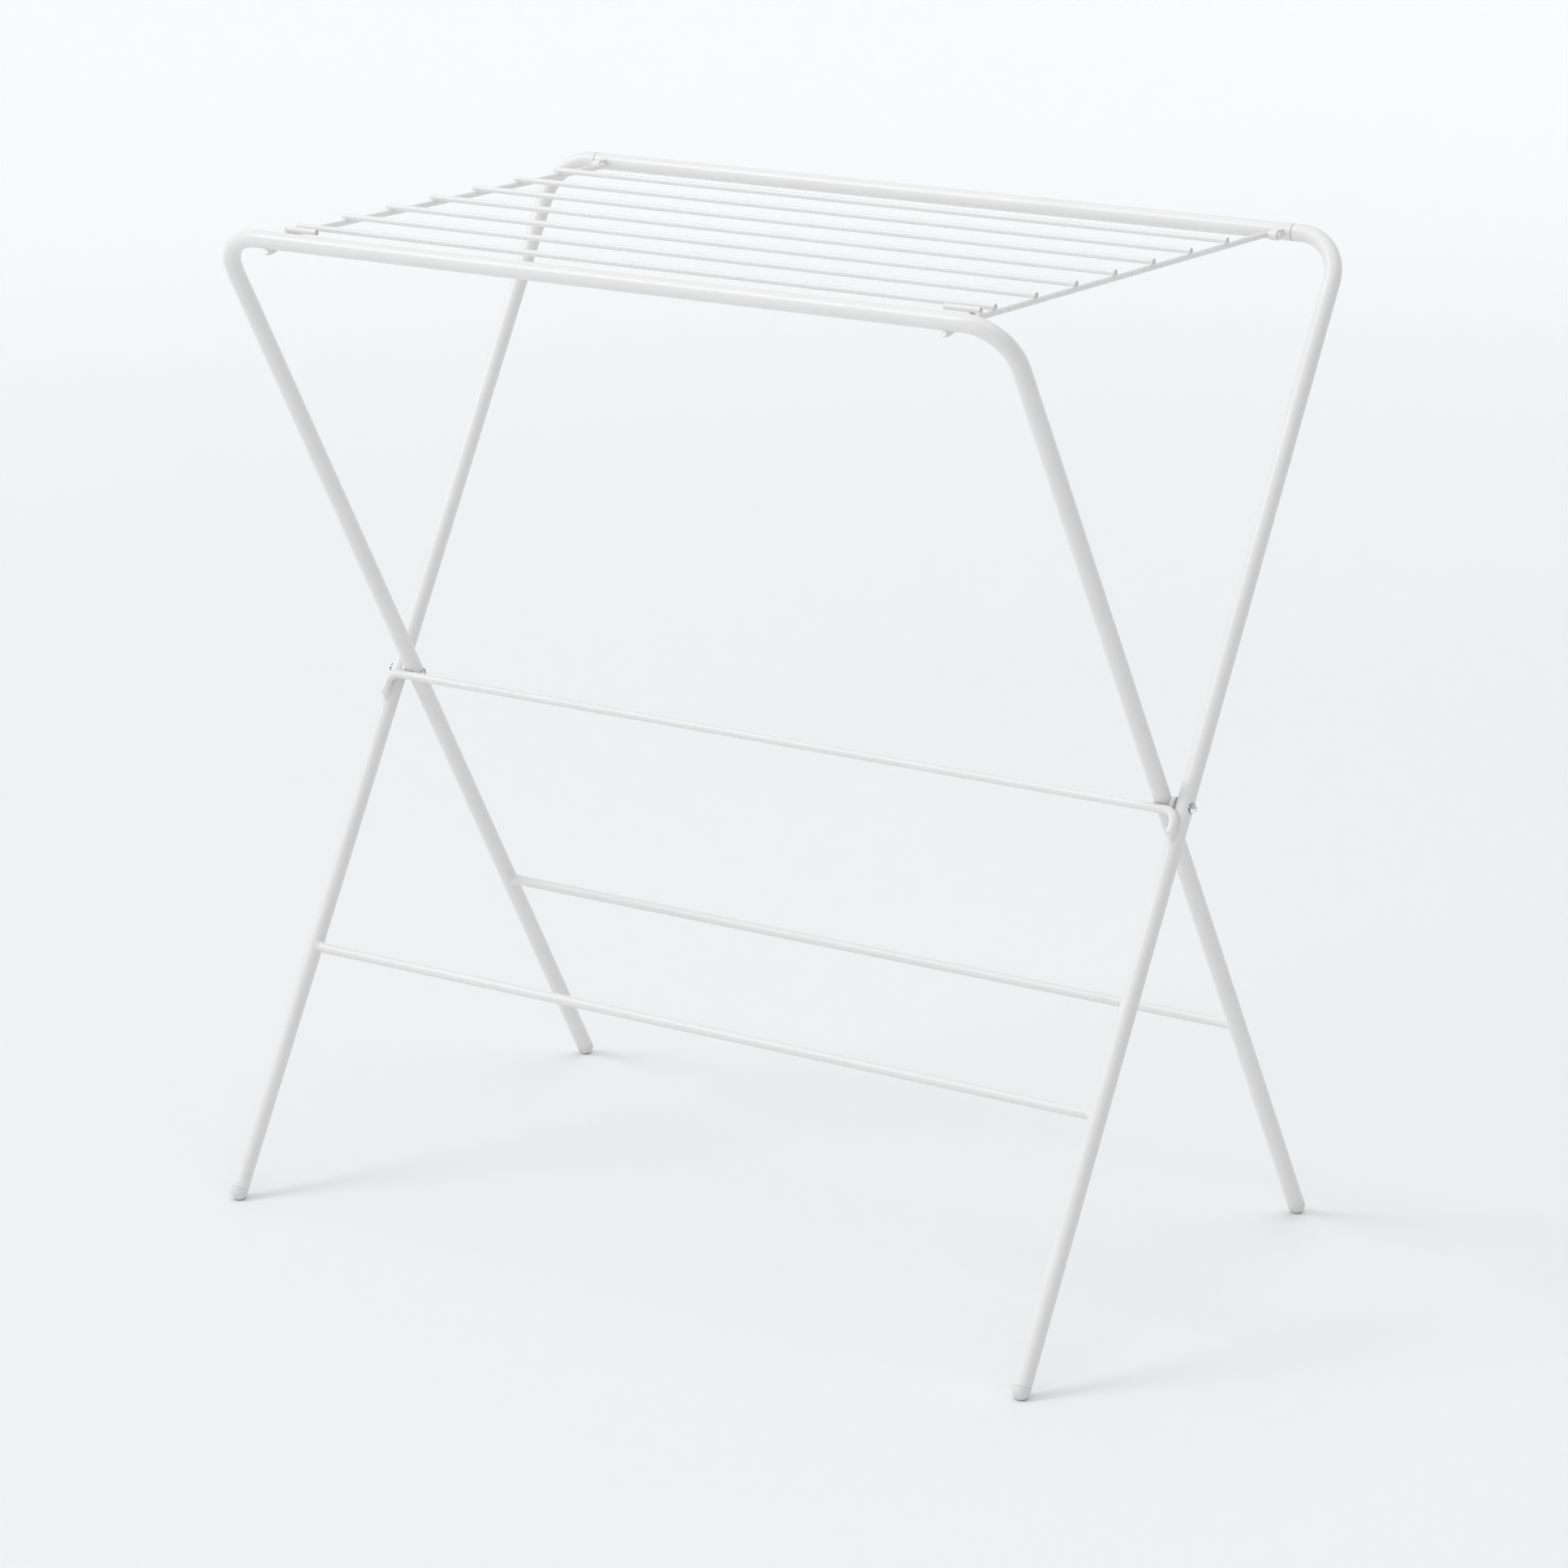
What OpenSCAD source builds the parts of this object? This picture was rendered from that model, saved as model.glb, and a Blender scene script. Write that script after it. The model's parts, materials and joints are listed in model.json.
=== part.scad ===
// Folding X-frame clothes airer: two bent tube frames riveted together, with a grid of rods on top.
// Origin on the floor under the middle of the airer. X is the width, Y runs front to back, Z is up.
// Drawn opened out for use.

/* [Frames] */
// Height of both top bars above the floor, to their centre lines
top_height = 920; // [860:5:960]
// Distance between the two top bars, centre to centre
bar_spacing = 530; // [500:5:560]
// Width of the outer frame, leg centre to leg centre
outer_width = 866; // [840:2:900]
// Gap between an outer leg and the inner leg beside it
leg_gap = 4; // [3:0.5:6]
// Outside diameter of the frame tube
tube_d = 16; // [15:0.5:18]
// Wall thickness of the frame tube
tube_wall = 1.2; // [1:0.1:1.6]
// Bend radius of the frame corners, to the centre line
corner_r = 42; // [32:1:60]
// Distance of the rear bar's end joints from the middle
bar_joint_x = 384; // [382:0.5:386]
// Width of the ring left open at each end joint
joint_ring = 0.6; // [0.2:0.1:0.8]
// Length of the swaged end of each leg that enters the rear bar
spigot_length = 45; // [30:1:60]

/* [Cross bars and feet] */
// Height of the lower cross bars above the floor
cross_height = 218; // [180:2:260]
// Diameter of the lower cross bars
cross_d = 9.5; // [8:0.5:12]
// Length of foot cap that shows below the tube, measured along the leg
foot_length = 12; // [10:0.5:16]
// Diameter of the flat that a foot cap stands on
foot_flat_d = 8; // [6:0.5:10]
// Depth to which a foot cap is pushed into the tube
foot_plug = 22; // [15:1:30]

/* [Pivots] */
// Diameter of the rivet shank
rivet_d = 6; // [5:0.5:7]
// Diameter of the domed rivet head
rivet_head_d = 10.2; // [9:0.2:11.4]
// Height of the domed rivet head
rivet_head_h = 3; // [2:0.2:4]
// Diameter of the closing head on the inner side
rivet_tail_d = 9; // [8:0.5:10]
// Running clearance around the rivets and the grid pins, on the radius
running_fit = 0.05; // [0.03:0.01:0.08]

/* [Wire and stop rod] */
// Diameter of the grid wire
wire_d = 5.5; // [5:0.25:6.5]
// Diameter of the stop rod
stop_d = 8; // [6:0.5:9]
// Bend radius of the stop rod's turned-down ends, to the centre line
stop_bend_r = 11; // [10:0.5:13]
// Straight length of the stop rod's turned-down ends
stop_end = 8; // [6:1:14]

/* [Grid] */
// Number of hanging rods
rod_count = 7; // [7]
// Spacing of the hanging rods
rod_pitch = 64; // [62:1:65]
// Distance of the middle of the rods in front of the airer's middle
rod_shift = 18; // [12:1:22]
// Height of the hanging rods, to their centre lines
rod_height = 924; // [922:0.5:925]
// Length of a hanging rod
rod_length = 734; // [732:1:744]
// Distance of each side wire from the middle
side_x = 364; // [362:0.5:365]
// Distance of the rear hinge pins in front of the rear bar
pin_standoff = 16; // [15.5:0.25:17]
// Bend radius of the hinge pins, to the centre line
pin_bend_r = 4; // [3.5:0.5:5]
// Straight length of a hinge pin
pin_length = 10.5; // [9.5:0.5:12]
// Width of a hinge bracket
bracket_width = 7.5; // [6:0.5:8]
// Wall thickness around a hinge bracket's bore
bracket_wall = 1.8; // [1.5:0.1:2.2]

/* [Front catches] */
// Distance of the short catch rods behind the front bar
catch_reach = 36; // [34:0.5:37]
// Length of a catch rod
catch_rod_length = 35; // [28:1:40]
// Distance of each wire catch from the middle
catch_x = 355; // [348:0.5:356]
// Angle that a wire catch wraps forward under the bar
catch_wrap = 30; // [20:1:33]
// Angle that a wire catch wraps around its catch rod, up from underneath
catch_curl = 100; // [85:1:105]

/* [Hidden] */
$fn = 64;
slip = 0.3;
weld = 0.05;
tube_r = tube_d / 2;
wire_r = wire_d / 2;
stop_r = stop_d / 2;
tube_bore = tube_d - 2 * tube_wall;
pivot_z = top_height / 2;
lean = atan2(bar_spacing / 2, pivot_z);
half_leg = norm([bar_spacing / 2, pivot_z]);
inner_width = outer_width - 2 * (tube_d + leg_gap);
cross_drop = (pivot_z - cross_height) / cos(lean);
front_bar_y = -bar_spacing / 2;
rear_bar_y = bar_spacing / 2;

// The stop rod lies in the crook of the X, welded to the outer legs and just clear of the inner ones.
stop_off = tube_r + stop_r - weld;
stop_drop = (tube_r + stop_r + slip - stop_off * cos(2 * lean)) / sin(2 * lean);

// The hanging rods are welded across the tops of the side wires.
side_z = rod_height - wire_d + 4 * weld;
pin_y = rear_bar_y - pin_standoff;
side_front_y = front_bar_y + tube_r + 9;
catch_rod_y = front_bar_y + catch_reach;
catch_rod_end = side_x + 1;

white = [0.93, 0.94, 0.94];
steel = [0.75, 0.76, 0.78];

// ---- Placing ----

// A frame is drawn flat: pivot at the origin, legs along Z. The outer frame's top leans back.
module on_outer_frame() {
    translate([0, 0, pivot_z]) rotate([-lean, 0, 0]) children();
}

module on_inner_frame() {
    translate([0, 0, pivot_z]) rotate([lean, 0, 0]) children();
}

// side is 1 for the right and -1 for the left.
module on_side(side) {
    if (side > 0) children();
    else mirror([1, 0, 0]) children();
}

// Stands a drawing made in X and Y up in the plane of Y and Z.
module in_yz() {
    rotate([90, 0, 90]) children();
}

// ---- Stock ----

module tube_section(d, wall) {
    difference() {
        circle(d = d);
        circle(d = d - 2 * wall);
    }
}

module tube_along_x(x0, x1, d, wall) {
    translate([x0, 0, 0]) rotate([0, 90, 0]) linear_extrude(x1 - x0) tube_section(d, wall);
}

module rod_along_x(x0, x1, d) {
    translate([x0, 0, 0]) rotate([0, 90, 0]) cylinder(d = d, h = x1 - x0);
}

module rod_along_y(y0, y1, d) {
    translate([0, y0, 0]) rotate([-90, 0, 0]) cylinder(d = d, h = y1 - y0);
}

// A bent length of wire around the origin, turning on from a start angle.
module wire_arc(d, r, start, turn) {
    rotate([0, 0, start]) rotate_extrude(angle = turn) translate([r, 0]) circle(d = d);
}

// ---- Frames ----

// The right-hand leg of a frame with its corner, drawn flat.
module leg_and_corner(width) {
    leg_x = width / 2;
    translate([leg_x, 0, half_leg - corner_r]) mirror([0, 0, 1])
        linear_extrude(2 * half_leg - foot_length - corner_r) tube_section(tube_d, tube_wall);
    translate([leg_x - corner_r, 0, half_leg - corner_r]) rotate([90, 0, 0])
        rotate_extrude(angle = 90) translate([corner_r, 0]) tube_section(tube_d, tube_wall);
}

module pivot_bore(d) {
    rod_along_x(-outer_width, outer_width, d);
}

// The leg, its corner and the end of the rear bar are one bent tube. Past a step at the joint
// the tube is swaged down to fill the bore of the rear bar.
module outer_leg(side) {
    step_x = bar_joint_x + tube_wall;
    color(white) on_outer_frame() on_side(side) difference() {
        union() {
            leg_and_corner(outer_width);
            translate([0, 0, half_leg]) {
                tube_along_x(bar_joint_x, outer_width / 2 - corner_r, tube_d, tube_wall);
                tube_along_x(bar_joint_x, step_x, tube_d - tube_wall, 1.5 * tube_wall);
                tube_along_x(bar_joint_x - spigot_length, step_x, tube_bore, tube_wall);
            }
        }
        pivot_bore(rivet_d);
    }
}

module outer_leg_left() {
    outer_leg(-1);
}

module outer_leg_right() {
    outer_leg(1);
}

module rear_top_bar() {
    half = bar_joint_x - joint_ring;
    color(white) on_outer_frame() translate([0, 0, half_leg]) tube_along_x(-half, half, tube_d, tube_wall);
}

// The inner frame is one tube bent twice.
module inner_frame_tube() {
    color(white) on_inner_frame() difference() {
        union() {
            leg_and_corner(inner_width);
            mirror([1, 0, 0]) leg_and_corner(inner_width);
            translate([0, 0, half_leg])
                tube_along_x(corner_r - inner_width / 2, inner_width / 2 - corner_r, tube_d, tube_wall);
        }
        pivot_bore(rivet_d + 2 * running_fit);
    }
}

// A cross bar ends in a saddle against each leg.
module cross_bar(width) {
    color(white) translate([0, 0, -cross_drop]) difference() {
        tube_along_x(-width / 2, width / 2, cross_d, 1);
        for (side = [-1, 1]) translate([side * width / 2, 0, -tube_d]) cylinder(d = tube_d, h = 2 * tube_d);
    }
}

module outer_cross_bar() {
    on_outer_frame() cross_bar(outer_width);
}

module inner_cross_bar() {
    on_inner_frame() cross_bar(inner_width);
}

// ---- Feet ----

// Height of the centre of a foot cap's round end, up the leg, that leaves the wanted flat.
foot_centre = sqrt(pow(tube_r, 2) - pow(foot_flat_d / 2, 2)) / cos(lean);

// The cap's upper edge is bevelled, which leaves a fine groove where the tube begins.
module foot_cap(leg_x) {
    edge = 0.4;
    translate([leg_x, 0, -half_leg]) {
        translate([0, 0, foot_centre]) sphere(d = tube_d);
        translate([0, 0, foot_centre]) cylinder(d = tube_d, h = foot_length - edge - foot_centre);
        translate([0, 0, foot_length - edge]) cylinder(d1 = tube_d, d2 = tube_d - 2 * edge, h = edge);
        translate([0, 0, foot_length - 1]) cylinder(d = tube_bore, h = foot_plug + 1);
    }
}

module below_floor() {
    translate([-outer_width, -bar_spacing, -50]) cube([2 * outer_width, 2 * bar_spacing, 50]);
}

module front_foot(side) {
    color(white) difference() {
        on_outer_frame() foot_cap(side * outer_width / 2);
        below_floor();
    }
}

module rear_foot(side) {
    color(white) difference() {
        on_inner_frame() foot_cap(side * inner_width / 2);
        below_floor();
    }
}

module front_foot_left() {
    front_foot(-1);
}

module front_foot_right() {
    front_foot(1);
}

module rear_foot_left() {
    rear_foot(-1);
}

module rear_foot_right() {
    rear_foot(1);
}

// ---- Pivots ----

// A dome of a given base and height, standing on the plane of X and Y.
module dome(d, h) {
    ball_r = (pow(d / 2, 2) + pow(h, 2)) / (2 * h);
    intersection() {
        translate([0, 0, h - ball_r]) sphere(r = ball_r);
        cylinder(d = d + 1, h = h + 1);
    }
}

// The outer head hugs the round of the outer leg. The closing head runs on the inner leg.
module pivot_rivet(side) {
    head_x = outer_width / 2 + tube_r;
    tail_x = inner_width / 2 - tube_r - slip;
    skirt = 3;
    color(steel) on_outer_frame() on_side(side) {
        rod_along_x(tail_x - 1, head_x + 1, rivet_d);
        difference() {
            union() {
                translate([head_x, 0, 0]) rotate([0, 90, 0]) dome(rivet_head_d, rivet_head_h);
                rod_along_x(head_x - skirt, head_x, rivet_head_d);
            }
            translate([outer_width / 2, 0, -tube_d]) cylinder(d = tube_d, h = 2 * tube_d);
        }
        translate([tail_x, 0, 0]) rotate([0, -90, 0]) dome(rivet_tail_d, 2);
    }
}

module pivot_rivet_left() {
    pivot_rivet(-1);
}

module pivot_rivet_right() {
    pivot_rivet(1);
}

module pivot_washer(side) {
    outer_face = outer_width / 2 - tube_r;
    color(white) on_outer_frame() on_side(side) difference() {
        rod_along_x(outer_face - leg_gap + slip, outer_face, tube_d);
        pivot_bore(rivet_d);
    }
}

module pivot_washer_left() {
    pivot_washer(-1);
}

module pivot_washer_right() {
    pivot_washer(1);
}

// The stop rod runs across the front of the X and turns down along each outer leg.
module stop_rod() {
    bend_x = outer_width / 2 - stop_bend_r;
    color(white) on_outer_frame() translate([0, -stop_off, -stop_drop]) {
        rod_along_x(-bend_x, bend_x, stop_d);
        for (side = [-1, 1]) on_side(side) {
            translate([bend_x, 0, -stop_bend_r]) rotate([90, 0, 0]) wire_arc(stop_d, stop_bend_r, 0, 90);
            translate([outer_width / 2, 0, -stop_bend_r - stop_end]) cylinder(d = stop_d, h = stop_end);
        }
    }
}

// ---- Grid ----

// A bored knuckle on a short foot, welded to the front of the rear bar.
module grid_bracket(side) {
    bracket_x = side_x + pin_bend_r + 0.6;
    bore_d = wire_d + 2 * running_fit;
    knuckle_d = bore_d + 2 * bracket_wall;
    color(white) on_side(side) difference() {
        union() {
            translate([0, pin_y, side_z]) rod_along_x(bracket_x, bracket_x + bracket_width, knuckle_d);
            translate([bracket_x, pin_y, side_z - 2]) cube([bracket_width, pin_standoff - 2, 6.5]);
        }
        translate([0, pin_y, side_z]) rod_along_x(bracket_x - 1, bracket_x + bracket_width + 1, bore_d);
        on_outer_frame() translate([0, 0, half_leg])
            rod_along_x(bracket_x - 1, bracket_x + bracket_width + 1, tube_d);
    }
}

module grid_bracket_left() {
    grid_bracket(-1);
}

module grid_bracket_right() {
    grid_bracket(1);
}

// Both side wires turn outwards at the rear and are sprung into their brackets.
module side_wire(side) {
    color(white) on_side(side) translate([side_x, 0, side_z]) {
        rod_along_y(side_front_y, pin_y - pin_bend_r, wire_d);
        translate([pin_bend_r, pin_y - pin_bend_r, 0]) wire_arc(wire_d, pin_bend_r, 90, 90);
        translate([0, pin_y, 0]) rod_along_x(pin_bend_r, pin_bend_r + pin_length, wire_d);
    }
}

module side_wire_left() {
    side_wire(-1);
}

module side_wire_right() {
    side_wire(1);
}

// Rods are counted from the front.
module hanging_rod(number) {
    rod_y = (number - (rod_count + 1) / 2) * rod_pitch - rod_shift;
    color(white) translate([0, rod_y, rod_height]) rod_along_x(-rod_length / 2, rod_length / 2, wire_d);
}

module catch_rod(side) {
    color(white) on_side(side) translate([0, catch_rod_y, rod_height])
        rod_along_x(catch_rod_end - catch_rod_length, catch_rod_end, wire_d);
}

module catch_rod_left() {
    catch_rod(-1);
}

module catch_rod_right() {
    catch_rod(1);
}

// ---- Front catches ----

// Wraps the underside of the front bar, runs back under the catch rod and turns up behind it.
// Its straight part touches both rounds, like a belt, and sets the slope of the drawing.
module wire_catch(side) {
    bar_ring = tube_r + wire_r - weld;
    rod_ring = wire_d + slip;
    rise = rod_height - top_height;
    spread = norm([catch_reach, rise]);
    run = sqrt(pow(spread, 2) - pow(bar_ring - rod_ring, 2));
    slope = atan2(rise, catch_reach) + asin((bar_ring - rod_ring) / spread);
    color(white) translate([side * catch_x, front_bar_y, top_height]) in_yz() rotate([0, 0, slope]) {
        mirror([1, 0, 0]) wire_arc(wire_d, bar_ring, 270, catch_wrap + slope);
        translate([0, -bar_ring, 0]) rotate([0, 90, 0]) cylinder(d = wire_d, h = run);
        translate([run, rod_ring - bar_ring, 0]) wire_arc(wire_d, rod_ring, 270, catch_curl - slope);
    }
}

module wire_catch_left() {
    wire_catch(-1);
}

module wire_catch_right() {
    wire_catch(1);
}

outer_leg_left();
outer_leg_right();
rear_top_bar();
outer_cross_bar();
stop_rod();
grid_bracket_left();
grid_bracket_right();
front_foot_left();
front_foot_right();
pivot_rivet_left();
pivot_rivet_right();
pivot_washer_left();
pivot_washer_right();
inner_frame_tube();
inner_cross_bar();
rear_foot_left();
rear_foot_right();
wire_catch_left();
wire_catch_right();
side_wire_left();
side_wire_right();
hanging_rod(1);  // hanging_rod_1
hanging_rod(2);  // hanging_rod_2
hanging_rod(3);  // hanging_rod_3
hanging_rod(4);  // hanging_rod_4
hanging_rod(5);  // hanging_rod_5
hanging_rod(6);  // hanging_rod_6
hanging_rod(7);  // hanging_rod_7
catch_rod_left();
catch_rod_right();
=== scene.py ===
"""Looks of the folding clothes airer: coated tubes and wire, welds, feet, rivets and the studio."""

import json
import math

import bmesh
import bpy
import numpy as np
from mathutils import Matrix, Vector


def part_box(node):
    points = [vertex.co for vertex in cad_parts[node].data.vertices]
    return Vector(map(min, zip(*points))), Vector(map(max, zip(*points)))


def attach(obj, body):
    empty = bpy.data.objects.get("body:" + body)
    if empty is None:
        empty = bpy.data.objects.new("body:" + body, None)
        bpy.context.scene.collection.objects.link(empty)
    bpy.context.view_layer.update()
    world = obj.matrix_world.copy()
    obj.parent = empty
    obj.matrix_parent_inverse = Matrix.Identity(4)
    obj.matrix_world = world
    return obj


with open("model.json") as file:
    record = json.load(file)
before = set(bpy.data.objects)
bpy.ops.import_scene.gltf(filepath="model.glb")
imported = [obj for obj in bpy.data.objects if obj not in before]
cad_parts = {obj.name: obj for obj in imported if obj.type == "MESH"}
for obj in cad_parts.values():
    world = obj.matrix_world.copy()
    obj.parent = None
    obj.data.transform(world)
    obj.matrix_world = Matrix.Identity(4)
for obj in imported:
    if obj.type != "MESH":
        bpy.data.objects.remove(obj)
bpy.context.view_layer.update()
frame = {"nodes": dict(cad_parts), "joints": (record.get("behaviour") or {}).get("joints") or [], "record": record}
NODES = frame["nodes"]

MM = 0.001


# ---------------------------------------------------------------- measures taken from the CAD

def low(node):
    return np.array(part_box(node)[0], float)


def high(node):
    return np.array(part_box(node)[1], float)


def mid(node):
    return (low(node) + high(node)) / 2


def size(node):
    return high(node) - low(node)


RODS = sorted(n for n in NODES if n.startswith("hanging_rod_"))
SIDES = ("left", "right")
SIGN = {"left": -1.0, "right": 1.0}

SEAM_RING = 0.6 * MM             # open ring between the rear bar and each leg
BRACKET_FOOT_DROP = 2.0 * MM     # a bracket's foot starts this far below the middle of its pin
BRACKET_FOOT_HEIGHT = 6.5 * MM   # and is this high
TURNED_MARK = 0.24166 * MM       # spacing of the turned marks on the rivet heads

tube_r = size("rear_top_bar")[2] / 2
wire_r = size(RODS[0])[2] / 2
pivot = np.array(frame["joints"][0]["pos_m"], float)
rear_bar = mid("rear_top_bar")
front_bar = np.array([0.0, low("inner_frame_tube")[1] + tube_r, high("inner_frame_tube")[2] - tube_r])
leg_dir = {"outer": rear_bar - pivot, "inner": front_bar - pivot}
leg_dir = {k: v * (0, 1, 1) / np.linalg.norm(v * (0, 1, 1)) for k, v in leg_dir.items()}
leg_x = {"outer": mid("front_foot_right")[0], "inner": mid("rear_foot_right")[0]}
stop_r = high("stop_rod")[0] - leg_x["outer"]
seam_x = high("rear_top_bar")[0] + SEAM_RING / 2
head_r = size("pivot_rivet_right")[1] / 2


# ---------------------------------------------------------------- node materials

class Paint:
    """A Principled material and short ways to add the procedural nodes that feed it."""

    def __init__(self, name):
        self.material = bpy.data.materials.new(name)
        self.material.use_nodes = True
        self.tree = self.material.node_tree
        self.shader = self.tree.nodes["Principled BSDF"]
        self.place = self.add("ShaderNodeTexCoord").outputs["Object"]

    def add(self, kind, **settings):
        node = self.tree.nodes.new(kind)
        for key, value in settings.items():
            setattr(node, key, value)
        return node

    def link(self, a, b):
        self.tree.links.new(a, b)

    def put(self, socket, value):
        """Links a socket, or sets it where the value is a plain number or colour."""
        if isinstance(value, bpy.types.NodeSocket):
            self.link(value, socket)
        else:
            socket.default_value = value

    def set(self, **values):
        for key, value in values.items():
            self.put(self.shader.inputs[key.replace("_", " ")], value)

    def noise(self, scale, detail=3.0, roughness=0.55, at=None, distortion=0.0):
        node = self.add("ShaderNodeTexNoise")
        node.inputs["Scale"].default_value = scale
        node.inputs["Detail"].default_value = detail
        node.inputs["Roughness"].default_value = roughness
        node.inputs["Distortion"].default_value = distortion
        self.link(at or self.place, node.inputs["Vector"])
        return node.outputs["Fac"]

    def stretched(self, scale):
        node = self.add("ShaderNodeMapping")
        node.inputs["Scale"].default_value = scale
        self.link(self.place, node.inputs["Vector"])
        return node.outputs["Vector"]

    def math(self, operation, a, b=0.0, clamp=False):
        node = self.add("ShaderNodeMath", operation=operation, use_clamp=clamp)
        self.put(node.inputs[0], a)
        self.put(node.inputs[1], b)
        return node.outputs[0]

    def span(self, value, a, b, to_a, to_b):
        """Maps a value smoothly from a..b to to_a..to_b."""
        node = self.add("ShaderNodeMapRange", interpolation_type="SMOOTHSTEP")
        for socket, v in zip(list(node.inputs)[:5], (value, a, b, to_a, to_b)):
            self.put(socket, v)
        return node.outputs["Result"]

    def blend(self, amount, a, b):
        node = self.add("ShaderNodeMix", data_type="RGBA")
        self.put(node.inputs[0], amount)
        self.put(node.inputs[6], a)
        self.put(node.inputs[7], b)
        return node.outputs[2]

    def bump(self, height, distance, strength=1.0, over=None):
        node = self.add("ShaderNodeBump")
        node.inputs["Strength"].default_value = strength
        node.inputs["Distance"].default_value = distance
        self.link(height, node.inputs["Height"])
        if over is not None:
            self.link(over, node.inputs["Normal"])
        return node.outputs["Normal"]

    def axis(self, name, offset=0.0):
        node = self.add("ShaderNodeSeparateXYZ")
        self.link(self.place, node.inputs[0])
        return self.math("SUBTRACT", node.outputs[name], offset)

    def away_from(self, name, value):
        """Distance to the two mirrored planes at plus and minus a value."""
        return self.math("ABSOLUTE", self.math("SUBTRACT", self.math("ABSOLUTE", self.axis(name)), value))

    def from_line(self, y, z):
        """Distance from a line that runs along X."""
        a, b = self.axis("Y", y), self.axis("Z", z)
        return self.math("SQRT", self.math("ADD", self.math("MULTIPLY", a, a), self.math("MULTIPLY", b, b)))


def grey(value, warm=0.0):
    return (value * (1 + warm), value, value * (1 - warm), 1.0)


def powder_coat(name, value, gloss, peel, seams=False, painted_end_shade=False):
    """Satin powder coat: orange peel, a little colour drift, dust nibs, and grey rubs where things touch.

    Seams get a thin line of painted shade, and the end faces of rods are painted darker as shade.
    """
    p = Paint(name)
    drift = p.span(p.noise(11.0, 3.0), 0.3, 0.7, 0.0, 1.0)
    patch = p.span(p.noise(75.0, 4.0, 0.6), 0.35, 0.75, 0.0, 1.0)
    base = p.blend(drift, grey(value, 0.004), grey(value * 0.975, 0.009))
    base = p.blend(p.math("MULTIPLY", patch, 0.35), base, grey(value * 0.965, 0.002))
    nibs = p.span(p.noise(1300.0, 1.0, 0.4), 0.73, 0.80, 0.0, 1.0)
    base = p.blend(p.math("MULTIPLY", nibs, 0.3), base, grey(value * 0.72, 0.01))
    near_pivot = p.span(p.from_line(pivot[1], pivot[2]), 6.0 * MM, 12.0 * MM, 0.35, 0.0)
    near_floor = p.span(p.axis("Z"), 0.004, 0.045, 1.0, 0.0)
    touched = p.math("MAXIMUM", near_pivot, near_floor)
    streaks = p.noise(420.0, 5.0, 0.7, at=p.stretched((1.0, 0.35, 0.35)), distortion=0.6)
    rub = p.span(streaks, 0.56, 0.72, 0.0, 0.55)
    rubbed = p.math("MULTIPLY", touched, rub)
    base = p.blend(rubbed, base, grey(value * 0.62, 0.012))
    if seams:
        # painted shade: a thin dark line on the bar at each seam, where the open ring between bar and leg lies in
        # shade
        ring = p.span(p.away_from("X", seam_x), 0.2 * MM, 0.7 * MM, 1.0, 0.0)
        on_bar = p.span(p.from_line(rear_bar[1], rear_bar[2]), 10 * MM, 11 * MM, 1.0, 0.0)
        ring = p.math("MULTIPLY", ring, on_bar)
        ring = p.math("MULTIPLY", ring, p.span(p.noise(300.0, 3.0), 0.3, 0.6, 0.3, 0.6))
        base = p.blend(ring, base, grey(value * 0.6, 0.012))
    if painted_end_shade:
        # painted shade: faces that turn along X, the rods' end faces, are painted darker as they lie in shade
        facing = p.add("ShaderNodeSeparateXYZ")
        p.link(p.place.node.outputs["Normal"], facing.inputs[0])
        end = p.span(p.math("ABSOLUTE", facing.outputs["X"]), 0.80, 0.97, 0.0, 1.0)
        end = p.math("MULTIPLY", end, p.span(p.noise(600.0, 4.0, 0.6), 0.3, 0.7, 0.55, 0.9))
        base = p.blend(end, base, grey(value * 0.66, 0.006))
    rough = p.span(p.noise(160.0, 4.0, 0.6), 0.25, 0.75, gloss - 0.05, gloss + 0.07)
    rough = p.math("ADD", rough, p.math("MULTIPLY", rubbed, 0.2), clamp=True)
    skin = p.bump(p.noise(560.0, 2.0, 0.5), peel)
    skin = p.bump(nibs, 0.00003, 0.5, over=skin)
    p.set(Base_Color=base, Roughness=rough, Normal=skin, IOR=1.5, Specular_IOR_Level=0.5)
    return p.material


def zinc(name):
    """Bright zinc-plated steel with turned marks around the pivot, and a painted dark reflection at the head's
    edge and over its rear half.
    """
    p = Paint(name)
    from_axis = p.from_line(pivot[1], pivot[2])
    # painted reflection: the head's edge and its rear half are painted near black, standing in for the dark
    # surroundings a polished dome would reflect
    painted_dark_reflection = p.span(from_axis, head_r - 0.7 * MM, head_r - 0.15 * MM, 0.0, 0.8)
    painted_rear_reflection = p.span(p.axis("Y", pivot[1]), -0.6 * MM, 1.0 * MM, 0.0, 0.92)
    painted_dark_reflection = p.math("MAXIMUM", painted_dark_reflection, painted_rear_reflection)
    cloud = p.span(p.noise(900.0, 4.0, 0.65), 0.3, 0.75, 0.0, 1.0)
    base = p.blend(cloud, (0.95, 0.955, 0.96, 1.0), (0.86, 0.865, 0.875, 1.0))
    base = p.blend(painted_dark_reflection, base, (0.12, 0.125, 0.13, 1.0))
    wave = p.math("SINE", p.math("MULTIPLY", from_axis, 2 * math.pi / TURNED_MARK))
    scratch = p.noise(2600.0, 3.0, 0.7, at=p.stretched((1.0, 1.0, 0.12)))
    rough = p.span(scratch, 0.3, 0.8, 0.12, 0.26)
    p.set(Base_Color=base, Metallic=1.0, Roughness=rough,
          Normal=p.bump(scratch, 0.00002, 0.5, over=p.bump(wave, 0.000006, 0.4)))
    return p.material


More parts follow.
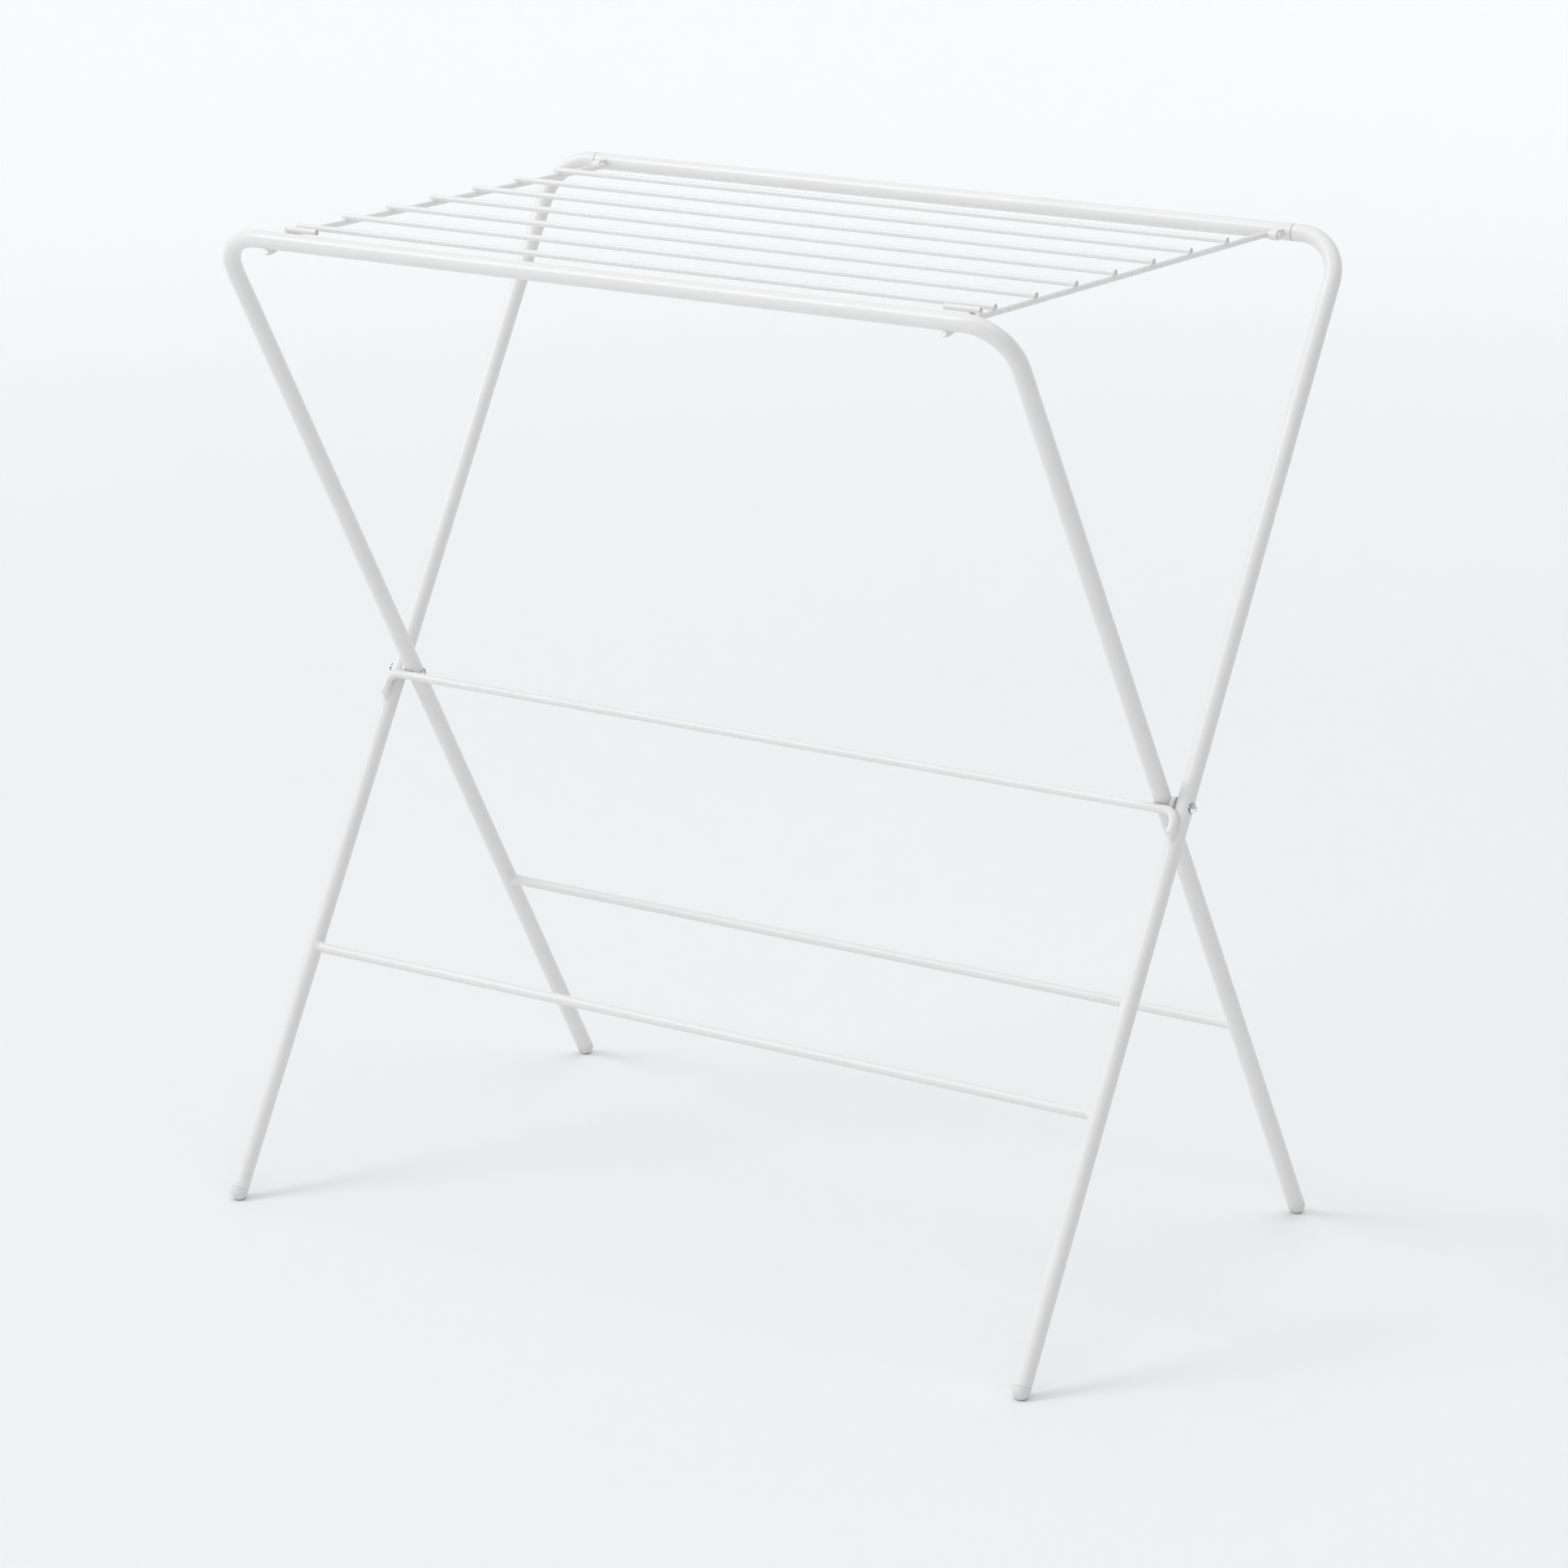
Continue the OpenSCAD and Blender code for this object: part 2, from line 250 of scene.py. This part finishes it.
def moulded(name, value, gloss):
    """Moulded plastic: fine spark texture, faint flow marks, scuffs near the floor, and a painted contact shadow
    where it meets the floor.
    """
    p = Paint(name)
    marks = p.noise(60.0, 4.0, 0.6, at=p.stretched((1.0, 1.0, 2.5)), distortion=0.8)
    flow = p.span(marks, 0.3, 0.75, 0.0, 1.0)
    base = p.blend(flow, grey(value, 0.004), grey(value * 0.96, 0.012))
    scrapes = p.noise(700.0, 5.0, 0.75, at=p.stretched((0.5, 1.0, 1.6)), distortion=1.2)
    scuffs = p.span(scrapes, 0.50, 0.70, 0.0, 1.0)
    low_down = p.span(p.axis("Z"), 0.0006, 0.0050, 1.0, 0.0)
    # painted shadow: the bottom 0.6 mm of a foot is painted near black, as the contact shadow under it
    painted_contact_shadow = p.span(p.axis("Z"), 0.0001, 0.0006, 0.85, 0.0)
    # scuffs low down are wear; the band at the sole is painted contact shadow
    scuffs_and_contact_shadow = p.math("MAXIMUM", p.math("MULTIPLY", p.math("MULTIPLY", low_down, scuffs), 0.6), painted_contact_shadow)
    base = p.blend(scuffs_and_contact_shadow, base, (0.11, 0.105, 0.10, 1.0))
    rough = p.span(p.noise(500.0, 3.0), 0.3, 0.7, gloss - 0.04, gloss + 0.08)
    rough = p.math("ADD", rough, p.math("MULTIPLY", scuffs_and_contact_shadow, 0.25), clamp=True)
    grain = p.bump(p.noise(2400.0, 2.0, 0.5), 0.00003, 0.6)
    p.set(Base_Color=base, Roughness=rough, Normal=grain, IOR=1.49)
    return p.material


MATERIALS = {
    "tube": powder_coat("tube_coat", 0.800, 0.34, 0.000035, seams=True),
    "wire": powder_coat("wire_coat", 0.810, 0.30, 0.000028),
    "rivet": zinc("zinc_steel"),
    "washer": moulded("washer_plastic", 0.82, 0.42),
    "foot_cap": moulded("foot_plastic", 0.73, 0.38),
}
# the rods get a coat with painted shade on their end faces
END_SHADED_WIRE = powder_coat("end_shaded_wire_coat", 0.810, 0.30, 0.000028, painted_end_shade=True)
SLOT_OF = {part["node"]: part["material_slot"] for part in frame["record"]["subparts"]}
for name, thing in NODES.items():
    thing.data.materials.clear()
    thing.data.materials.append(END_SHADED_WIRE if "_rod_" in name else MATERIALS[SLOT_OF[name]])


# ---------------------------------------------------------------- eased rims

def ease(node, width):
    """Rounds a node's sharp rims, as its coating does."""
    edge = NODES[node].modifiers.new("eased_rim", "BEVEL")
    edge.width = width
    edge.segments = 3
    edge.limit_method = "ANGLE"
    edge.angle_limit = math.radians(50)
    edge.harden_normals = False


# ---------------------------------------------------------------- welds

def rod_field(a, b, r):
    """Distance field of a round rod from a to b, in metres."""
    a, b = np.array(a, float), np.array(b, float)
    length = np.linalg.norm(b - a)
    along = (b - a) / length

    def field(p):
        d = p - a
        t = d @ along
        radial = np.linalg.norm(d - t[..., None] * along, axis=-1) - r
        axial = np.abs(t - length / 2) - length / 2
        outside = np.hypot(np.maximum(radial, 0), np.maximum(axial, 0))
        return outside + np.minimum(np.maximum(radial, axial), 0)
    return field


def taper_field(a, b, ra, rb):
    """Distance field of a rounded taper from a ball of radius ra to one of radius rb."""
    a, b = np.array(a, float), np.array(b, float)

    def field(p):
        t = np.clip(((p - a) @ (b - a)) / ((b - a) @ (b - a)), 0, 1)
        return np.linalg.norm(p - a - t[..., None] * (b - a), axis=-1) - (ra + (rb - ra) * t)
    return field


def hoop_field(centre, ring, r, start, turn):
    """Distance field of a wire bent around a line along X; angles in radians from +Y towards +Z."""
    centre = np.array(centre, float)

    def field(p):
        d = p - centre
        angle = np.arctan2(d[..., 2], d[..., 1]) - start
        angle = np.clip(np.mod(angle + math.pi, 2 * math.pi) - math.pi, 0, turn) + start
        near = np.stack([np.zeros_like(angle), ring * np.cos(angle), ring * np.sin(angle)], -1)
        return np.linalg.norm(d - near, axis=-1) - r
    return field


def block_field(lo, hi):
    lo, hi = np.array(lo, float), np.array(hi, float)

    def field(p):
        q = np.abs(p - (lo + hi) / 2) - (hi - lo) / 2
        return np.linalg.norm(np.maximum(q, 0), axis=-1) + np.minimum(q.max(-1), 0)
    return field


def net(field, lo, hi, cell):
    """Mesh of the surface where a field is zero, one vertex in each grid cell that it crosses."""
    axes = [np.arange(a, b + cell, cell) for a, b in zip(lo, hi)]
    points = np.stack(np.meshgrid(*axes, indexing="ij"), -1)
    f = field(points)
    for k in range(3):
        edge = [slice(None)] * 3
        for end in (0, -1):
            edge[k] = end
            f[tuple(edge)] = np.maximum(f[tuple(edge)], cell * 0.01)
    n = np.array(f.shape)
    total, count = np.zeros((*(n - 1), 3)), np.zeros(n - 1)
    crossings = []
    for k in range(3):
        u, v = [j for j in range(3) if j != k]
        first, second = [slice(None)] * 3, [slice(None)] * 3
        first[k], second[k] = slice(0, -1), slice(1, None)
        fa, fb = f[tuple(first)], f[tuple(second)]
        crossed = (fa < 0) != (fb < 0)
        t = np.where(crossed, fa / np.where(crossed, fa - fb, 1.0), 0.0)
        where = points[tuple(first)] + t[..., None] * (points[tuple(second)] - points[tuple(first)])
        for du in (0, 1):
            for dv in (0, 1):
                part = [slice(None)] * 3
                part[u] = slice(du, n[u] - 1 + du)
                part[v] = slice(dv, n[v] - 1 + dv)
                total += where[tuple(part)] * crossed[tuple(part)][..., None]
                count += crossed[tuple(part)]
        crossings.append((k, u, v, crossed))
    index = np.full(count.shape, -1)
    index[count > 0] = np.arange(int((count > 0).sum()))
    verts = total[count > 0] / count[count > 0][:, None]
    quads = []
    for k, u, v, crossed in crossings:
        inner = [slice(None)] * 3
        inner[u] = inner[v] = slice(1, -1)
        at = np.argwhere(crossed[tuple(inner)])
        at[:, u] += 1
        at[:, v] += 1
        corners = []
        for du, dv in ((1, 1), (0, 1), (0, 0), (1, 0)):
            cell_at = at.copy()
            cell_at[:, u] -= du
            cell_at[:, v] -= dv
            corners.append(index[tuple(cell_at.T)])
        quads.append(np.stack(corners, 1))
    return verts, np.concatenate(quads)


def fillet(fields, soft, lo, hi, cell=0.4 * MM, sink=0.045 * MM, bead=None):
    """The weld metal between touching shapes: their blended surface, kept only where it stands out of them.

    A bead is a blob of weld metal that is blended in with them.
    """
    def blended(p):
        value = fields[0](p)
        for other in fields[1:] + ([bead] if bead else []):
            b = other(p)
            h = np.maximum(soft - np.abs(value - b), 0) / soft
            value = np.minimum(value, b) - h * h * soft / 4
        wobble = np.sin(p[..., 0] * 2900) + np.sin(p[..., 1] * 3300 + 1.3) + np.sin(p[..., 2] * 3100 + 0.7)
        return value + sink + wobble * 0.012 * MM
    verts, quads = net(blended, lo, hi, cell)
    bare = np.min([f(verts) for f in fields], axis=0)
    keep = (bare[quads] > -0.75 * sink).any(1)
    used, renumbered = np.unique(quads[keep], return_inverse=True)
    return verts[used], renumbered.reshape(-1, 4)


def piece(name, parts, body, slot):
    """One smooth-shaded mesh made of several patches."""
    mesh = bpy.data.meshes.new(name)
    verts, faces, start = [], [], 0
    for v, f in parts:
        verts.append(v)
        faces.append(f + start)
        start += len(v)
    mesh.from_pydata(np.concatenate(verts).tolist(), [], np.concatenate(faces).tolist())
    work = bmesh.new()
    work.from_mesh(mesh)
    bmesh.ops.recalc_face_normals(work, faces=work.faces)
    bmesh.ops.smooth_vert(work, verts=[v for v in work.verts if not v.is_boundary], factor=0.5,
                          use_axis_x=True, use_axis_y=True, use_axis_z=True)
    work.to_mesh(mesh)
    work.free()
    mesh.polygons.foreach_set("use_smooth", [True] * len(mesh.polygons))
    thing = bpy.data.objects.new(name, mesh)
    bpy.context.scene.collection.objects.link(thing)
    mesh.materials.append(MATERIALS[slot])
    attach(thing, body)
    return thing


def around(point, *half):
    point, half = np.array(point, float), np.array(half, float) * MM
    return point - half, point + half


def grid_welds():
    parts = []
    for side in SIDES:
        wire = f"side_wire_{side}"
        x = low(wire)[0] + wire_r if side == "right" else high(wire)[0] - wire_r
        z = mid(wire)[2]
        run = rod_field([x, low(wire)[1], z], [x, high(wire)[1] - 2 * wire_r, z], wire_r)
        for node in RODS + [f"catch_rod_{side}"]:
            a, b = low(node), high(node)
            y, top = mid(node)[1], mid(node)[2]
            rod = rod_field([a[0], y, top], [b[0], y, top], wire_r)
            parts.append(fillet([run, rod], 2.8 * MM, *around([x, y, (z + top) / 2], 6.0, 6.0, 7.0)))
    return piece("grid_welds", parts, "grid", "wire")


def frame_welds(which):
    """The ends of a frame's cross bar, and what else is welded to that frame."""
    bar = mid(f"{which}_cross_bar")
    half = size(f"{which}_cross_bar")[0] / 2
    r = size(f"{which}_cross_bar")[2] / 2
    along, parts = leg_dir[which], []
    for side in SIDES:
        x = SIGN[side] * leg_x[which]
        leg = rod_field(np.array([x, 0, 0]) + bar * (0, 1, 1) - along * 0.03,
                        np.array([x, 0, 0]) + bar * (0, 1, 1) + along * 0.03, tube_r)
        bar_end = rod_field([x, bar[1], bar[2]], [x - SIGN[side] * 0.03, bar[1], bar[2]], r)
        centre = [x - SIGN[side] * tube_r * 0.9, bar[1], bar[2]]
        parts.append(fillet([leg, bar_end], 3.4 * MM, *around(centre, 8.0, 10.0, 10.0)))
    return parts


def stop_rod_weld(side):
    """Joins a turned-down end of the stop rod to its leg and closes the end of the rod."""
    along = leg_dir["outer"]
    away = np.array([0.0, -along[2], along[1]])
    top, across = high("stop_rod"), np.array([SIGN[side] * leg_x["outer"], 0, 0])
    line = np.array([0.0, top[1] - stop_r, top[2] - stop_r])
    reach = (low("stop_rod") - line) @ np.array([0, 0, 1]) / along[2]
    start = line + across - along * 11 * MM
    end = line + across + along * (reach + stop_r * 0.58)
    leg_mid = pivot + along * ((start - pivot) @ along) + across
    leg = rod_field(leg_mid + along * 20 * MM, leg_mid - along * 50 * MM, tube_r)
    rod = rod_field(start, end, stop_r)
    tip = end - along * 6.5 * MM - away * 4.5 * MM
    tail = taper_field(end + along * 0.6 * MM, tip, stop_r * 1.04, stop_r * 0.4)
    centre = (start + end) / 2 - away * 2 * MM
    return fillet([leg, rod], 2.6 * MM, *around(centre, 8.0, 17.0, 19.0), bead=tail)


def bracket_weld(side):
    """Joins a bracket's foot to the rear bar."""
    knuckle = f"grid_bracket_{side}"
    a, b = low(knuckle), high(knuckle)
    foot_lo = [a[0], mid(knuckle)[1], mid("side_wire_left")[2] - BRACKET_FOOT_DROP]
    foot = block_field(foot_lo, [b[0], rear_bar[1] - tube_r * 0.5, foot_lo[2] + BRACKET_FOOT_HEIGHT])
    past = 20 * MM
    bar = rod_field([a[0] - past, rear_bar[1], rear_bar[2]],
                    [b[0] + past, rear_bar[1], rear_bar[2]], tube_r)
    centre = [mid(knuckle)[0], rear_bar[1] - tube_r, foot_lo[2] + 3.2 * MM]
    return fillet([bar, foot], 2.2 * MM, *around(centre, 7.5, 4.0, 7.0), cell=0.3 * MM)


def outer_frame_welds():
    parts = frame_welds("outer")
    for side in SIDES:
        parts += [stop_rod_weld(side), bracket_weld(side)]
    return piece("outer_frame_welds", parts, "outer_frame", "tube")


def inner_frame_welds():
    parts = frame_welds("inner")
    for side in SIDES:
        catch = f"wire_catch_{side}"
        x = mid(catch)[0]
        bar = rod_field([x - 0.02, front_bar[1], front_bar[2]], [x + 0.02, front_bar[1], front_bar[2]], tube_r)
        wrap = hoop_field(front_bar + [x, 0, 0], tube_r + wire_r - 0.05 * MM, wire_r,
                          math.radians(254), math.radians(20))
        centre = [x, front_bar[1] - 1.5 * MM, front_bar[2] - tube_r]
        parts.append(fillet([bar, wrap], 2.6 * MM, *around(centre, 6.0, 10.0, 5.0)))
    return piece("inner_frame_welds", parts, "inner_frame", "tube")


grid_welds()
outer_frame_welds()
inner_frame_welds()

for node in RODS + [n for n in NODES if n.startswith("catch_rod_")]:
    ease(node, 0.7 * MM)
for node in NODES:
    if node.startswith(("wire_catch_", "side_wire_", "grid_bracket_", "rear_top_bar")):
        ease(node, 0.5 * MM)


# ---------------------------------------------------------------- studio

GLOW = 0.22      # light of its own that the far paper gives off
# painted shade: the wall on the right is painted dark, to stand for the shade on that side
SHADE = 0.75     # how much of the wall on the right is turned to dark paper
FLAT_TO = 5.5    # radius to which the floor is flat, in metres
CURVE = 2.2      # radius of the curve that turns it up into the wall


def studio_floor():
    """A flat floor that turns up into a low wall all round."""
    profile = [(1.0, 0.0), (3.0, 0.0), (FLAT_TO, 0.0)]
    for a in np.linspace(0.05, math.pi / 2, 20):
        profile.append((FLAT_TO + CURVE * math.sin(a), CURVE * (1 - math.cos(a))))
    wall = FLAT_TO + CURVE
    profile += [(wall, CURVE + 1.0), (wall, CURVE + 2.0)]
    steps = 96
    turns = [2 * math.pi * k / steps for k in range(steps)]
    work = bmesh.new()
    rings = [[work.verts.new((r * math.cos(t), r * math.sin(t), z)) for t in turns] for r, z in profile]
    for a, b in zip(rings, rings[1:]):
        for k in range(steps):
            work.faces.new((a[k], a[(k + 1) % steps], b[(k + 1) % steps], b[k]))
    work.faces.new(list(reversed(rings[0])))
    bmesh.ops.recalc_face_normals(work, faces=work.faces)
    if work.faces[-1].normal.z < 0:
        bmesh.ops.reverse_faces(work, faces=work.faces)
    mesh = bpy.data.meshes.new("studio_floor")
    work.to_mesh(mesh)
    work.free()
    mesh.polygons.foreach_set("use_smooth", [True] * len(mesh.polygons))
    thing = bpy.data.objects.new("studio_floor", mesh)
    bpy.context.scene.collection.objects.link(thing)
    p = Paint("studio_paper")
    tone = p.span(p.noise(0.35, 2.0), 0.3, 0.7, 0.0, 1.0)
    paper = p.blend(tone, (0.860, 0.860, 0.862, 1.0), (0.852, 0.852, 0.856, 1.0))
    # painted shade: the paper turns dark towards the right (+X), as the shade on that side
    shaded = p.span(p.axis("X"), 3.5, 7.0, 0.0, SHADE)
    p.set(Base_Color=p.blend(shaded, paper, (0.30, 0.30, 0.302, 1.0)), Roughness=0.9)
    x, y = p.axis("X"), p.axis("Y")
    far = p.math("SQRT", p.math("ADD", p.math("MULTIPLY", x, x), p.math("MULTIPLY", y, y)))
    glow = p.math("MULTIPLY", p.span(far, 0.5, wall, 0.0, GLOW), p.math("SUBTRACT", 1.0, shaded))
    p.set(Specular_IOR_Level=0.1, Emission_Color=(0.97, 0.99, 1.0, 1.0), Emission_Strength=glow)
    mesh.materials.append(p.material)


def soft_light(name, place, power, width):
    """A round area light of some width, aimed at the middle of the airer."""
    data = bpy.data.lights.new(name, "AREA")
    data.shape = "DISK"
    data.size = width
    data.energy = power
    thing = bpy.data.objects.new(name, data)
    thing.location = place
    aim = Vector((0.0, 0.0, 0.5))
    thing.rotation_euler = (aim - Vector(place)).to_track_quat("-Z", "Y").to_euler()
    bpy.context.scene.collection.objects.link(thing)


def studio_air(left, right):
    """A plain sky that is brighter on the left than on the right."""
    world = bpy.data.worlds.new("studio_air")
    world.use_nodes = True
    sky = world.node_tree
    background = sky.nodes["Background"]
    background.inputs["Color"].default_value = (0.98, 0.99, 1.0, 1.0)
    side_of = sky.nodes.new("ShaderNodeSeparateXYZ")
    sky.links.new(sky.nodes.new("ShaderNodeTexCoord").outputs["Generated"], side_of.inputs[0])
    fall = sky.nodes.new("ShaderNodeMapRange")
    for socket, v in zip(list(fall.inputs)[1:5], (-1.0, 1.0, left, right)):
        socket.default_value = v
    sky.links.new(side_of.outputs["X"], fall.inputs[0])
    sky.links.new(fall.outputs["Result"], background.inputs["Strength"])
    bpy.context.scene.world = world


studio_floor()
soft_light("key_light", (-7.0, -6.2, 8.9), power=410.0, width=5.4)
soft_light("top_light", (0.9, 0.2, 6.0), power=104.0, width=6.0)

studio_air(left=0.86, right=0.32)
bpy.context.scene.view_settings.view_transform = "Standard"


# ---------------------------------------------------------------- camera

def camera(place, yaw, pitch, roll, lens):
    """A camera turned yaw to the left of the line into the room and looking down by pitch, in radians."""
    ahead = np.array([-math.sin(yaw) * math.cos(pitch), math.cos(yaw) * math.cos(pitch), -math.sin(pitch)])
    right = np.array([math.cos(yaw), math.sin(yaw), 0.0])
    up = np.cross(right, ahead)
    right, up = (right * math.cos(roll) + up * math.sin(roll), up * math.cos(roll) - right * math.sin(roll))
    data = bpy.data.cameras.new("photo_camera")
    data.sensor_width = 36.0
    data.lens = lens
    data.clip_end = 100.0
    thing = bpy.data.objects.new("photo_camera", data)
    turn = Matrix((right, up, -ahead)).transposed().to_4x4()
    thing.matrix_world = Matrix.Translation(place) @ turn
    bpy.context.scene.collection.objects.link(thing)
    bpy.context.scene.camera = thing


camera((2.4820, -3.6149, 1.6597), yaw=0.5992, pitch=0.2770, roll=-0.0039, lens=114.3)
